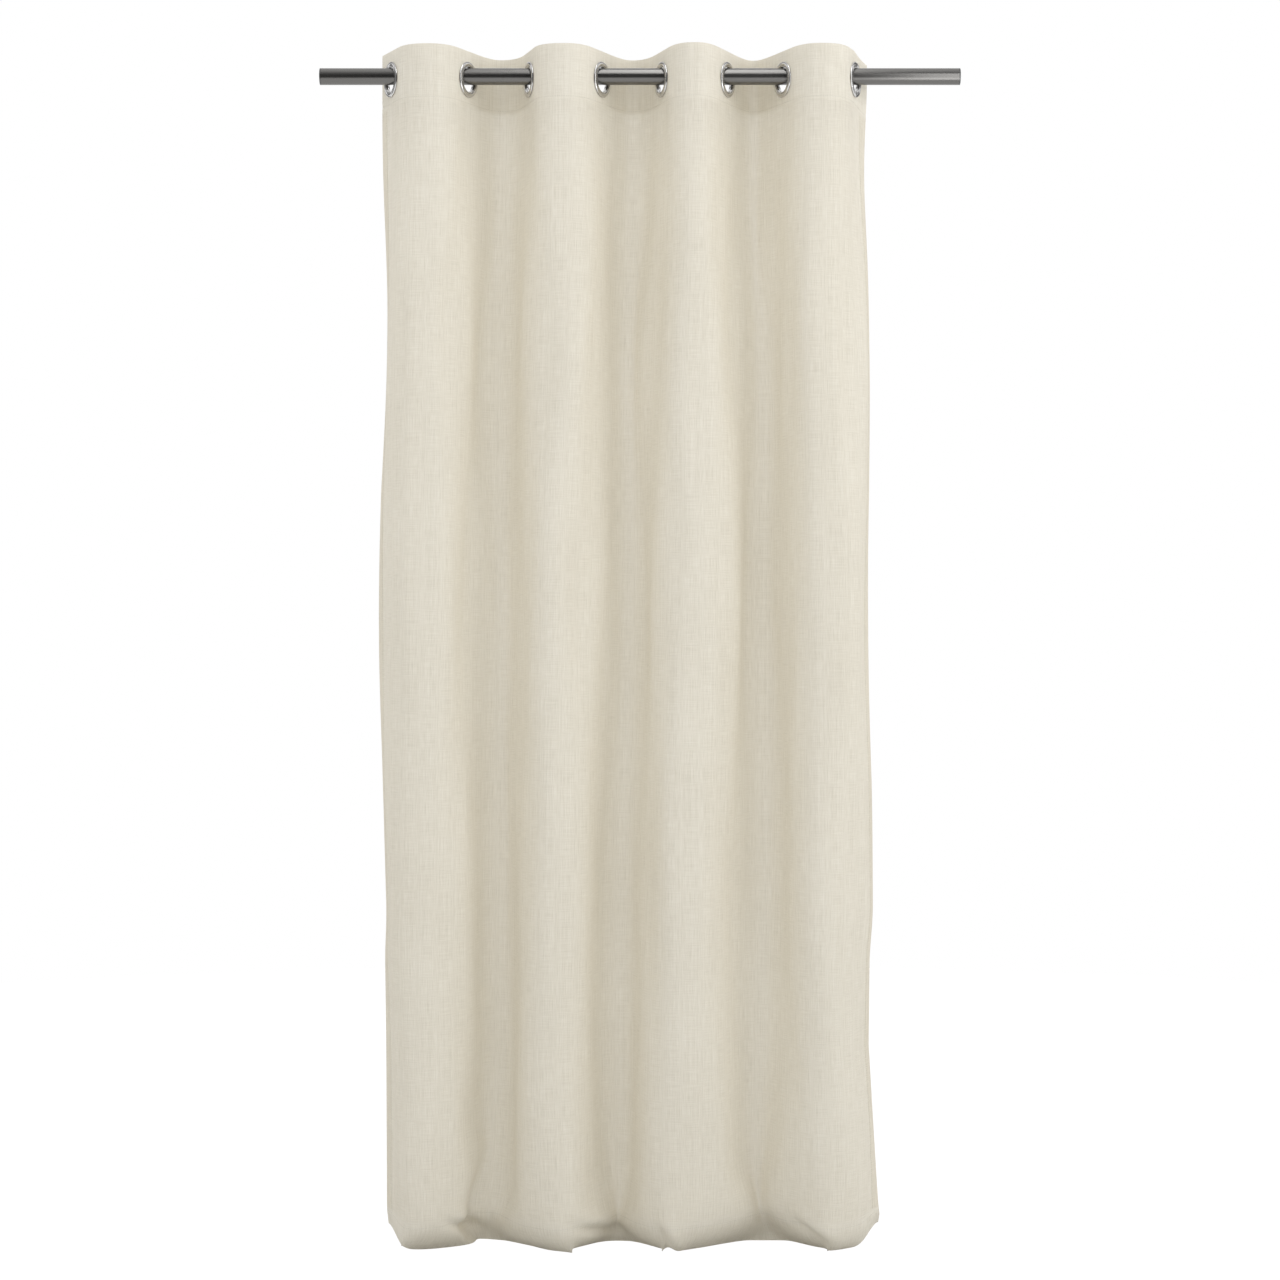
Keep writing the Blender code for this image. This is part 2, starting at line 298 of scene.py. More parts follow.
# ---------------------------------------------------------------- Cloth panel
# One panel of ecru slubbed plain weave hangs in seven folds and is a little
# longer than the drop, so that its hem breaks on the floor. It is a table of
# points: a row for each level and a column for each place across the cloth.

CLOTH_BETWEEN_EYELETS = 0.194
EDGE_MARGIN = 0.045
PANEL_WIDTH = 7 * CLOTH_BETWEEN_EYELETS + 2 * EDGE_MARGIN
STEPS_BETWEEN_EYELETS = 32
STEPS_IN_MARGIN = 8
FLAT_RADIUS = 0.032
HEADING_ROWS_END = 0.112
HEADING_ROW = 0.004
PANEL_ROW = 0.008
BREAK_LENGTH = 0.028
CORNER_DROOP = 0.016
CORNER_FLARE = 0.009
HEM_TUCK = 0.014
CORNER_ROUNDING = 0.034
# Each crease: where it starts and ends, in X and Z, and how deep it is.
HEM_CREASES = (
    ((-0.340, -1.922), (-0.284, -1.952), 0.009),
    ((-0.135, -1.928), (-0.040, -1.960), 0.008),
    ((0.020, -1.912), (0.048, -1.980), 0.007),
    ((0.236, -1.912), (0.300, -1.960), 0.007),
)
# How far the folds may stand out to the front and to the back.
DEEPEST = (-0.0770, 0.0840)
HEADING_STITCH = 0.0875
HEM_STITCH = 0.076

cloth_low, cloth_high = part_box("cloth_section_1")
TOP = cloth_high.z
FLOOR = cloth_low.z

joints = {joint["name"]: joint for joint in frame["joints"]}
fold_lines = [Vector(joints[f"fold_{i}"]["pos_m"]) for i in range(1, 8)]
eyelet_centres = [eyelet_place(number)[0] for number in EYELETS]
eyelet_outs = [eyelet_place(number)[1] for number in EYELETS]


def heading_outline():
    """The panel's top edge seen from above, as a fine chain from left to right.

    The cloth is flat where the flanges clamp it and bends between the eyelets.
    """
    chain = []
    steps = np.linspace(0, 1, 40)[:, None]
    for k, (centre, out) in enumerate(zip(eyelet_centres, eyelet_outs)):
        middle = np.array([centre.x, 0.0])
        along = np.array([-out.y, out.x])
        if k == 0:
            chain.append(middle - along * EDGE_MARGIN * np.linspace(1, 0, 20)[:, None])
        for direction in (-1, 1):
            if not 0 <= k + (direction - 1) // 2 < len(fold_lines):
                continue
            fold = fold_lines[k + (direction - 1) // 2]
            end = np.array([fold.x, fold.y])
            start = middle + direction * along * FLAT_RADIUS
            corner = middle + along * (fold.y / along[1])
            bend = start * (1 - steps) ** 2 + corner * 2 * steps * (1 - steps) + end * steps ** 2
            flat = middle + direction * along * FLAT_RADIUS * np.linspace(0, 1, 10)[:-1, None]
            half = np.vstack([flat, bend])
            chain.append(half[::-1] if direction < 0 else half)
        if k == len(eyelet_centres) - 1:
            chain.append(middle + along * EDGE_MARGIN * np.linspace(0, 1, 20)[:, None])
    points = np.vstack(chain)
    keep = np.append(True, np.linalg.norm(np.diff(points, axis=0), axis=1) > 1e-7)
    return points[keep]


def measured(points):
    """Distance along a chain at each of its points."""
    return np.append(0.0, np.cumsum(np.linalg.norm(np.diff(points, axis=0), axis=1)))


# Lower down the folds leave the places that the eyelets give them. Their left
# sides stand steeper and their right sides lie broader towards the hem. Each row
# gives a fold's shift in X, in metres, at the levels below.
DRIFT_LEVELS = (-0.10, -0.70, -1.20, -1.64, -1.96)
FOLD_DRIFT = (
    (0.0, -0.007, -0.016, -0.018, -0.024),
    (0.0, 0.002, 0.002, 0.002, -0.022),
    (0.0, -0.009, -0.022, -0.034, -0.018),
    (0.0, -0.005, -0.012, -0.018, -0.022),
    (0.0, -0.010, -0.020, -0.025, -0.024),
    (0.0, 0.016, 0.020, 0.012, 0.004),
    (0.0, 0.001, 0.006, 0.012, 0.020),
)
EDGE_LEFT = (-0.429, -0.440, -0.438, -0.432, -0.430)
EDGE_RIGHT = (0.386, 0.394, 0.394, 0.389, 0.408)
CREST_ROUNDNESS = 0.33
SIDE_STEEPNESS = 0.34
SLOPE_STEPS = 48
END_FOLD_WIDTHS = (0.115, 0.120)
UNEVEN_DEPTH = 0.07


def slope(crest, trough):
    """One side of a fold, from its round crest to the tighter trough behind it."""
    t = np.linspace(0, 1, SLOPE_STEPS + 1)
    run = t + CREST_ROUNDNESS * np.sin(math.pi * t) / math.pi
    run = run + SIDE_STEEPNESS * np.sin(2 * math.pi * t) / (2 * math.pi)
    x = crest[0] + (trough[0] - crest[0]) * run
    y = crest[1] + (trough[1] - crest[1]) * (1 - np.cos(math.pi * t)) / 2
    return np.stack([x, y], axis=1)


def hanging_outline(level):
    """The panel seen from above at a level below the heading, left to right."""
    x = [line.x + np.interp(-level, [-d for d in DRIFT_LEVELS], drift)
         for line, drift in zip(fold_lines, FOLD_DRIFT)]
    x = [x[0] - END_FOLD_WIDTHS[0]] + x + [x[-1] + END_FOLD_WIDTHS[1]]
    uneven = [1 + UNEVEN_DEPTH * math.sin(2.1 * j + 1.7 * level) for j in range(len(x))]
    inner = (len(fold_lines) - 1) * CLOTH_BETWEEN_EYELETS
    shallow, deep = 0.03, 0.12
    for _ in range(24):
        depth = (shallow + deep) / 2
        lines = [(x[j], depth * uneven[j] * (1 if j % 2 == 0 else -1)) for j in range(len(x))]
        sides = [slope(lines[j], lines[j + 1]) if j % 2 else slope(lines[j + 1], lines[j])[::-1]
                 for j in range(len(x) - 1)]
        if sum(measured(side)[-1] for side in sides[1:-1]) < inner:
            shallow = depth
        else:
            deep = depth
    points = np.vstack([sides[0]] + [side[1:] for side in sides[1:]])
    run = measured(points)
    first = run[SLOPE_STEPS]
    start = first - CLOTH_BETWEEN_EYELETS / 2 - EDGE_MARGIN
    return points, run - start


def table_levels():
    """Distances below the top edge, closer together in the heading."""
    heading = np.arange(0.0, HEADING_ROWS_END, HEADING_ROW)
    rest = np.arange(HEADING_ROWS_END, TOP - FLOOR + BREAK_LENGTH + PANEL_ROW / 2, PANEL_ROW)
    return np.append(heading, rest)


def table_columns():
    """Distances across the cloth, with a column through every eyelet's centre."""
    left = np.linspace(0, EDGE_MARGIN, STEPS_IN_MARGIN + 1)
    inner = np.linspace(0, 7 * CLOTH_BETWEEN_EYELETS, 7 * STEPS_BETWEEN_EYELETS + 1)
    right = left[1:] + EDGE_MARGIN + inner[-1]
    return np.concatenate([left[:-1], EDGE_MARGIN + inner, right])


def smooth(value, low, high):
    """Rises evenly from 0 at low to 1 at high."""
    t = np.clip((value - low) / (high - low), 0, 1)
    return t * t * (3 - 2 * t)


def lay_out_panel():
    """The table's levels, its places across, and its points before they are settled."""
    drops = table_levels()
    across = table_columns()
    heading = heading_outline()
    run = measured(heading)
    run = run * PANEL_WIDTH / run[-1]
    top_x = np.interp(across, run, heading[:, 0])
    top_y = np.interp(across, run, heading[:, 1])
    table = np.zeros((len(drops), len(across), 3))
    reach = -np.array(DRIFT_LEVELS)
    for row, drop in enumerate(drops):
        level = TOP - drop
        points, along = hanging_outline(max(level, FLOOR))
        low_x = np.interp(across, along, points[:, 0])
        low_y = np.interp(across, along, points[:, 1])
        near_left = 1 - smooth(across, 0, EDGE_MARGIN + CLOTH_BETWEEN_EYELETS * 0.45)
        near_right = 1 - smooth(PANEL_WIDTH - across, 0, EDGE_MARGIN + CLOTH_BETWEEN_EYELETS * 0.45)
        low_x += (np.interp(-level, reach, EDGE_LEFT) - low_x[0]) * near_left
        low_x += (np.interp(-level, reach, EDGE_RIGHT) - low_x[-1]) * near_right
        free = smooth(drop, 0.09, 0.60)
        table[row, :, 0] = top_x + (low_x - top_x) * free
        table[row, :, 1] = top_y + (low_y - top_y) * free
        table[row, :, 2] = level
        corner = smooth(across, PANEL_WIDTH - EDGE_MARGIN - 0.010, PANEL_WIDTH + 0.008)
        corner *= 1 - smooth(drop, 0.02, 0.35)
        table[row, :, 0] += CORNER_FLARE * corner * corner
        table[row, :, 2] -= CORNER_DROOP * corner
    return drops, across, table


def normals_of(table):
    """Unit vectors square to the cloth, towards its face."""
    down = np.gradient(table, axis=0)
    right = np.gradient(table, axis=1)
    normal = np.cross(right, -down)
    normal /= np.linalg.norm(normal, axis=2, keepdims=True)
    return normal


drops, across, panel = lay_out_panel()


# Each kind of ripple: its width, its height and how far it stands out.
RIPPLES = ((0.31, 1.9, 0.0030), (0.17, 1.1, 0.0018), (0.105, 0.75, 0.0011), (0.070, 0.50, 0.0006))
EYELET_PULL = 0.0016


def ripple(table):
    """Low soft ripples that cloth takes between its folds, and pulls below the eyelets."""
    free = smooth(drops, 0.10, 0.45)[:, None]
    random = np.random.default_rng(7)
    lift = np.zeros(table.shape[:2])
    for width, height, size in RIPPLES:
        for _ in range(3):
            turn = random.uniform(0, 2 * math.pi, 2)
            lean = random.uniform(-0.5, 0.5)
            phase = across[None, :] / width + lean * drops[:, None] / height
            lift += size * np.sin(2 * math.pi * phase + turn[0]) * np.sin(
                2 * math.pi * drops[:, None] / height + turn[1])
    lift *= free
    for k in range(8):
        offset = across - EDGE_MARGIN - k * CLOTH_BETWEEN_EYELETS
        pull = np.exp(-(offset / 0.020) ** 2)[None, :]
        below = (smooth(drops, 0.080, 0.105) * (1 - smooth(drops, 0.12, 0.30)))[:, None]
        lift -= EYELET_PULL * pull * below
    lift -= 0.0005 * np.exp(-((drops - HEADING_STITCH) / 0.003) ** 2)[:, None]
    return table + normals_of(table) * lift[:, :, None]


def tuck_hem(table):
    """The hem starts a little behind the panel, so that its spare length tucks under."""
    back = HEM_TUCK * smooth(drops, drops[-1] - 0.085, drops[-1])
    table[:, :, 1] += back[:, None]
    return table


panel = tuck_hem(ripple(panel))


# The lower part is settled by simulation: it hangs from the rows above, the
# floor comes up under it by the spare length, and the hem breaks there.
SETTLE_LEVEL = -1.38
SETTLE_FRAMES = 64
RISE_FRAMES = (4, 40)
FLOOR_CLEARANCE = 0.0015


def halfway(points):
    """Puts a smooth halfway point between each two neighbours along the first axis."""
    padded = np.concatenate([2 * points[:1] - points[1:2], points, 2 * points[-1:] - points[-2:-1]])
    between = (9 * (padded[1:-2] + padded[2:-1]) - padded[:-3] - padded[3:]) / 16
    result = np.empty((2 * len(points) - 1, *points.shape[1:]))
    result[::2] = points
    result[1::2] = between
    return result


def relaxed(table, passes):
    """Evens out a table a little, as the cloth's own stiffness would."""
    for _ in range(passes):
        for axis in (0, 1):
            swapped = np.swapaxes(table, 0, axis)
            inner = (swapped[:-2] + 2 * swapped[1:-1] + swapped[2:]) / 4
            table = np.swapaxes(np.concatenate([swapped[:1], inner, swapped[-1:]]), 0, axis)
    return table


def draw_in_sides(table):
    """Brings the loose side edges back to where the panel's own edges hang."""
    reach = -np.array(DRIFT_LEVELS)
    band = EDGE_MARGIN + CLOTH_BETWEEN_EYELETS / 2
    left_band, right_band = across < band, across > PANEL_WIDTH - band
    level = table[:, :1, 2][:, 0]
    left = np.interp(-level, reach, EDGE_LEFT) - table[:, left_band, 0].min(axis=1)
    right = np.interp(-level, reach, EDGE_RIGHT) - table[:, right_band, 0].max(axis=1)
    table[:, :, 0] += left[:, None] * (1 - smooth(across, 0, 2 * band))[None, :]
    table[:, :, 0] += right[:, None] * (1 - smooth(PANEL_WIDTH - across, 0, 2 * band))[None, :]


def held_depth(table):
    """Lets no fold stand deeper than the folds between the eyelets do."""
    for side, limit in zip((-1, 1), DEEPEST):
        free = 0.82 * abs(limit)
        over = np.maximum(side * table[:, :, 1] - free, 0.0)
        room = abs(limit) - free
        table[:, :, 1] -= side * (over - room * np.tanh(over / room))


def round_corners(table):
    """The two lower corners curl up a little, which rounds them."""
    x = table[:, :, 0]
    from_side = np.minimum(x - x.min(axis=1, keepdims=True), x.max(axis=1, keepdims=True) - x)
    edge = 1 - smooth(from_side, 0, 0.055)
    low = smooth(drops, drops[-1] - 0.150, drops[-1] - BREAK_LENGTH)[:, None]
    table[:, :, 2] += CORNER_ROUNDING * low ** 2 * edge ** 2


def creased(table):
    """Short slanting creases where the spare length folds in on itself above the hem."""
    x, z = table[:, :, 0], table[:, :, 2]
    lift = np.zeros(x.shape)
    for (x0, z0), (x1, z1), depth in HEM_CREASES:
        length = math.hypot(x1 - x0, z1 - z0)
        along = ((x - x0) * (x1 - x0) + (z - z0) * (z1 - z0)) / length
        above = ((z - z0) * (x1 - x0) - (x - x0) * (z1 - z0)) / length
        share = smooth(along, 0, 0.7 * length) * (1 - smooth(along, length, 1.4 * length))
        lift -= depth * share * np.exp(-(above / 0.009) ** 2)
        lift += 0.45 * depth * share * np.exp(-((above - 0.018) / 0.011) ** 2)
    return table + normals_of(table) * lift[:, :, None]


def settle(table):
    """Hangs the rows below the settle level again, with their spare length."""
    first = int(np.searchsorted(drops, TOP - SETTLE_LEVEL))
    first += (len(drops) - 1 - first) % 2
    part = table[first::2, ::2]
    rows, columns = part.shape[:2]
    mesh = bpy.data.meshes.new("settling_cloth")
    index = np.arange(rows * columns).reshape(rows, columns)
    faces = np.stack([index[:-1, :-1], index[1:, :-1], index[1:, 1:], index[:-1, 1:]], axis=-1)
    mesh.from_pydata(part.reshape(-1, 3).tolist(), [], faces.reshape(-1, 4).tolist())
    cloth = bpy.data.objects.new("settling_cloth", mesh)
    bpy.context.scene.collection.objects.link(cloth)
    held = cloth.vertex_groups.new(name="held")
    grip = 1 - smooth(np.arange(rows), 1, 8)
    for row in range(8):
        held.add(index[row].tolist(), float(grip[row]), 'REPLACE')
    sim = cloth.modifiers.new("settle", 'CLOTH')
    sim.settings.quality = 7
    sim.settings.mass = 0.12
    sim.settings.tension_stiffness = 40
    sim.settings.compression_stiffness = 40
    sim.settings.shear_stiffness = 20
    sim.settings.bending_stiffness = 6.0
    sim.settings.air_damping = 3.0
    sim.settings.vertex_group_mass = "held"
    sim.settings.pin_stiffness = 2.0
    sim.collision_settings.distance_min = FLOOR_CLEARANCE
    sim.collision_settings.use_self_collision = False
    sim.point_cache.frame_start = 1
    sim.point_cache.frame_end = SETTLE_FRAMES
    bpy.ops.mesh.primitive_plane_add(size=3.0, location=(0, 0, FLOOR - BREAK_LENGTH - 0.006))
    ground = bpy.context.object
    ground.modifiers.new("ground", 'COLLISION')
    ground.collision.thickness_outer = 0.001
    ground.collision.cloth_friction = 12
    ground.keyframe_insert("location", frame=RISE_FRAMES[0])
    ground.location.z = FLOOR - 0.0005
    ground.keyframe_insert("location", frame=RISE_FRAMES[1])
    for step in range(1, SETTLE_FRAMES + 1):
        bpy.context.scene.frame_set(step)
    graph = bpy.context.evaluated_depsgraph_get()
    settled = np.empty(rows * columns * 3, dtype=np.float32)
    cloth.evaluated_get(graph).data.vertices.foreach_get("co", settled)
    settled = relaxed(settled.reshape(rows, columns, 3).astype(float), 2)
    fine = halfway(halfway(settled).transpose(1, 0, 2)).transpose(1, 0, 2)
    fine = relaxed(fine, 2)
    near_hem = smooth(np.arange(len(fine)), len(fine) - 26, len(fine) - 6)[:, None, None]
    fine = fine * (1 - near_hem) + relaxed(fine, 14) * near_hem
    fine[:, :, 2] = np.maximum(fine[:, :, 2], FLOOR + FLOOR_CLEARANCE)
    draw_in_sides(fine)
    result = table.copy()
    share = smooth(np.arange(len(fine)), 1, 14)[:, None, None]
    result[first:] = result[first:] * (1 - share) + fine * share
    bpy.data.objects.remove(cloth, do_unlink=True)
    bpy.data.objects.remove(ground, do_unlink=True)
    bpy.context.scene.frame_set(1)
    return result


panel = settle(panel)
panel = creased(panel)
round_corners(panel)
held_depth(panel)
panel[:, :, 2] = np.maximum(panel[:, :, 2], FLOOR + FLOOR_CLEARANCE)
panel_normals = normals_of(panel)


def mixed(nodes, links, share, first, second):
    """Two surfaces mixed. The second one's share is a number or a node's output."""
    mix = nodes.new("ShaderNodeMixShader")
    if isinstance(share, float):
        set_inputs(mix, Fac=share)
    else:
        links.new(share, mix.inputs["Fac"])
    links.new(first, mix.inputs[1])
    links.new(second, mix.inputs[2])
    return mix.outputs["Shader"]


def cloth_material(name, glow_share):
    """Ecru slubbed weave, drawn in the cloth's own flat measures in metres.

    The glow is the share of light that the thin cloth lets through from behind.
    """
    material, nodes, links = new_material(name)
    shader = nodes["Principled BSDF"]
    set_inputs(shader, Roughness=0.88, Specular_IOR_Level=0.18, Sheen_Weight=0.08,
               Sheen_Roughness=0.45, Sheen_Tint=(1.0, 0.98, 0.94, 1))
    flat = nodes.new("ShaderNodeUVMap")
    flat.uv_map = "flat_cloth"

    def noise(scale, detail, offset=0.0):
        place = nodes.new("ShaderNodeMapping")
        set_inputs(place, Scale=(*scale, 1.0), Location=(offset, offset, 0.0))
        links.new(flat.outputs["UV"], place.inputs["Vector"])
        texture = nodes.new("ShaderNodeTexNoise")
        texture.noise_dimensions = '2D'
        set_inputs(texture, Scale=1.0, Detail=detail)
        links.new(place.outputs["Vector"], texture.inputs["Vector"])
        return texture.outputs["Fac"]

    def combine(operation, first, second):
        node = nodes.new("ShaderNodeMath")
        node.operation = operation
        for socket, value in zip(node.inputs, (first, second)):
            if isinstance(value, float):
                socket.default_value = value
            else:
                links.new(value, socket)
        return node.outputs["Value"]

    def threads(direction, pitch):
        wave = nodes.new("ShaderNodeTexWave")
        wave.bands_direction = direction
        set_inputs(wave, Scale=2 * math.pi / (20 * pitch), Distortion=0.6, Detail=1.0)
        links.new(flat.outputs["UV"], wave.inputs["Vector"])
        return wave.outputs["Fac"]

    warp_slubs = noise((950.0, 34.0), 2.0)
    weft_slubs = noise((30.0, 900.0), 2.0, 3.7)
    long_streaks = noise((330.0, 5.0), 1.0, 8.1)
    cloudy = noise((9.0, 5.0), 3.0, 5.5)
    slubs = combine('ADD', combine('MULTIPLY', warp_slubs, 1.2), combine('MULTIPLY', weft_slubs, 0.8))
    tone = combine('ADD', combine('MULTIPLY', slubs, 0.66), combine('MULTIPLY', long_streaks, 0.34))
    tone = combine('ADD', tone, combine('MULTIPLY', cloudy, 0.22))
    spread = in_range(nodes, links, tone, 0.0, 1.0, 0.62, 1.24)
    colour = nodes.new("ShaderNodeValToRGB")
    ramp = colour.color_ramp
    ramp.elements[0].position = 0.0
    ramp.elements[0].color = (0.765, 0.722, 0.620, 1)
    ramp.elements[1].position = 1.0
    ramp.elements[1].color = (0.915, 0.876, 0.780, 1)
    middle = ramp.elements.new(0.5)
    middle.color = (0.848, 0.804, 0.702, 1)
    links.new(spread, colour.inputs["Fac"])
    links.new(colour.outputs["Color"], shader.inputs["Base Color"])

    weave = combine('MULTIPLY', threads('X', 0.0009), threads('Y', 0.0010))
    relief = combine('ADD', combine('MULTIPLY', weave, 0.5), slubs)
    bump = nodes.new("ShaderNodeBump")
    set_inputs(bump, Strength=0.55, Distance=0.00035)
    links.new(relief, bump.inputs["Height"])
    links.new(bump.outputs["Normal"], shader.inputs["Normal"])

    glow = nodes.new("ShaderNodeBsdfTranslucent")
    links.new(colour.outputs["Color"], glow.inputs["Color"])
    links.new(bump.outputs["Normal"], glow.inputs["Normal"])
    thin = mixed(nodes, links, glow_share, shader.outputs["BSDF"], glow.outputs["BSDF"])
    links.new(thin, nodes["Material Output"].inputs["Surface"])
    return material


ecru_weave = cloth_material("ecru_slub_weave", 0.30)
turned_weave = cloth_material("ecru_slub_weave_turned_in", 0.85)
backed_weave = cloth_material("ecru_slub_weave_backed", 0.10)
FACING_HEIGHT = 0.092
FACING_OFFSET = 0.0019
HEM_HEIGHT = 0.080
HEM_OFFSET = 0.0009
TURN_RISE = 0.0007
HOLE_RADIUS = 0.0255


def offset_rows(rows, columns, offset):
    """Rows of the table moved towards the cloth's back."""
    return panel[rows, columns] - panel_normals[rows, columns] * offset


def layer_mesh(name, layers, uvs, normals, *materials, kind_of_row=lambda row: 0):
    """A strip of cloth through rows of points, left open where the eyelets are."""
    points = np.stack(layers)
    flat = np.stack(uvs)
    facing = np.stack(normals)
    rows, columns = points.shape[:2]
    index = np.arange(rows * columns).reshape(rows, columns)
    faces = np.stack([index[:-1, :-1], index[1:, :-1], index[1:, 1:], index[:-1, 1:]], axis=-1)
    faces = faces.reshape(-1, 4)
    points = points.reshape(-1, 3)
    inside = np.zeros(len(points), dtype=bool)
    for centre, out in zip(eyelet_centres, eyelet_outs):
        away = points - np.array(centre)
        outward = np.array(out)
        depth = away @ outward
        flat_away = away - depth[:, None] * outward
        reach = np.linalg.norm(flat_away, axis=1)
        near = (reach < HOLE_RADIUS) & (np.abs(depth) < 0.006)
        stretch = HOLE_RADIUS / np.maximum(reach, 1e-6)
        moved = np.array(centre) + flat_away * stretch[:, None] + depth[:, None] * outward
        points[near] = moved[near]
        inside |= near
    kinds = np.repeat([kind_of_row(row) for row in range(rows - 1)], columns - 1)
    kept = ~inside[faces].all(axis=1)
    faces, kinds = faces[kept], kinds[kept]
    used = np.unique(faces)
    renumber = np.full(len(points), -1)
    renumber[used] = np.arange(len(used))
    mesh = bpy.data.meshes.new(name)
    mesh.from_pydata(points[used].tolist(), [], renumber[faces].tolist())
    mesh.shade_smooth()
    uv_layer = mesh.uv_layers.new(name="flat_cloth")
    corners = np.empty(len(mesh.loops), dtype=np.int32)
    mesh.loops.foreach_get("vertex_index", corners)
    uv_layer.data.foreach_set("uv", flat.reshape(-1, 2)[used][corners].reshape(-1).astype(np.float32))
    mesh.normals_split_custom_set_from_vertices(facing.reshape(-1, 3)[used].tolist())
    for material in materials:
        mesh.materials.append(material)
    mesh.polygons.foreach_set("material_index", kinds.astype(np.int32))
    piece = bpy.data.objects.new(name, mesh)
    bpy.context.scene.collection.objects.link(piece)
    return piece


def cloth_strip(name, columns):
    """Heading facing, over the top edge, down the face and up the back as the hem."""
    layers, uvs, normals = [], [], []
    width = across[columns]

    def add(points, length, normal):
        layers.append(points)
        uvs.append(np.stack([width, np.full(len(width), length)], axis=1))
        normals.append(normal)

    up = np.tile([0.0, 0.0, 1.0], (len(width), 1))
    facing_rows = int(np.searchsorted(drops, FACING_HEIGHT)) + 1
    for row in range(facing_rows - 1, -1, -1):
        add(offset_rows(row, columns, FACING_OFFSET), -drops[row], -panel_normals[row, columns])
    add(offset_rows(0, columns, FACING_OFFSET / 2) + up * TURN_RISE, -0.0005, up)
    for row in range(len(drops)):
        add(panel[row, columns], drops[row], panel_normals[row, columns])
    end = panel[-1, columns] - panel[-2, columns]
    end = end / np.linalg.norm(end, axis=1, keepdims=True)
    last = len(drops) - 1
    add(offset_rows(last, columns, HEM_OFFSET / 2) + end * TURN_RISE, drops[-1] + 0.0005, end)
    for row in range(last, int(np.searchsorted(drops, drops[-1] - HEM_HEIGHT)), -1):
        length = 2 * drops[-1] - drops[row] + 0.001
        add(offset_rows(row, columns, HEM_OFFSET), length, -panel_normals[row, columns])

    def kind_of_row(row):
        level = row - facing_rows
        if not 0 <= level < len(drops):
            return 1
        return 2 if level < facing_rows or drops[level] > drops[-1] - HEM_HEIGHT else 0

    return layer_mesh(name, layers, uvs, normals, ecru_weave, turned_weave, backed_weave,
                      kind_of_row=kind_of_row)


def bend_zone(columns):
    """Where a strip turns from one eyelet's body to the next, clear of both its sides.

    The zone leans as the fold leans, so that it follows the fold to the hem.
    """
    height = panel[:, columns, 2]
    left, right = panel[:, columns[0], 0], panel[:, columns[-1], 0]
    middle = (left + right) / 2
    lean = np.polyfit(height[:, 0], middle, 1)[0]
    start = (left - lean * height[:, 0]).max() + 0.004
    end = (right - lean * height[:, -1]).min() - 0.004
    reach = (end - start) / (1 + lean * lean)
    return Vector((start, 0, 0)), Vector((start + reach, 0, -lean * reach))


def hang(piece, strip):
    """Fixes an edge piece to the body of its end eyelet. Any other piece stays fixed in place; its bend
    zone is worked out but not used.
    """
    if strip in (0, 8):
        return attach(piece, f"section_{1 if strip == 0 else 8}")
    start, end = bend_zone(strip_columns[strip])
    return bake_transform(piece)


column_breaks = [0] + [STEPS_IN_MARGIN + STEPS_BETWEEN_EYELETS * k for k in range(8)] + [len(across) - 1]
strip_columns = [np.arange(a, b + 1) for a, b in zip(column_breaks, column_breaks[1:])]
for number, columns in enumerate(strip_columns):
    strip = cloth_strip(f"curtain_cloth_{number + 1}", columns)
    if number < 8:
        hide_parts(f"cloth_section_{number + 1}")
    hang(strip, number)

# ------------------------------------------------------------------ Side hems
# Both side edges are turned to the back, pressed and stitched down their whole
# length between the heading facing and the bottom hem.

SIDE_HEM_STEPS = 4
SIDE_HEM_STEP = 0.0055
side_rows = np.arange(int(np.searchsorted(drops, FACING_HEIGHT)) + 1,
                      int(np.searchsorted(drops, drops[-1] - HEM_HEIGHT)))
for strip_number, side in ((0, "left"), (8, "right")):
    inward = np.arange(SIDE_HEM_STEPS + 1)
    columns = inward if strip_number == 0 else len(across) - 1 - inward
    layers, uvs, normals = [], [], []
    outward = panel[side_rows, columns[0]] - panel[side_rows, columns[1]]
    outward /= np.linalg.norm(outward, axis=1, keepdims=True)
    layers.append(panel[side_rows, columns[0]])
    normals.append(outward + panel_normals[side_rows, columns[0]] * 0.5)
    layers.append(panel[side_rows, columns[0]] + outward * TURN_RISE
                  - panel_normals[side_rows, columns[0]] * HEM_OFFSET / 2)
    normals.append(outward)
    for column in columns:
        layers.append(panel[side_rows, column] - panel_normals[side_rows, column] * HEM_OFFSET)
        normals.append(-panel_normals[side_rows, column])
    for layer in range(len(layers)):
        length = -SIDE_HEM_STEP * (layer - 2) * (1 if strip_number == 0 else -1) + across[columns[0]]
        uvs.append(np.stack([np.full(len(side_rows), length), drops[side_rows]], axis=1))
    if strip_number == 8:
        layers, uvs, normals = layers[::-1], uvs[::-1], normals[::-1]
    hem = layer_mesh(f"side_hem_{side}", layers, uvs, normals, turned_weave)
    hang(hem, strip_number)

# ------------------------------------------------------------------ Stitching
# Ecru polyester thread in lockstitch, seen on the face and on the back: one row
# across the foot of the heading, one across the top of the hem, and one down
# each side hem.

STITCH_PITCH = 0.0038
STITCH_LENGTH = 0.0029
THREAD_RADIUS = 0.00024
THREAD_SIDES = 6
SIDE_STITCH_INSET = 0.0018
# About the distance from one column of the cloth to the next.
COLUMN_SPACING = 0.006


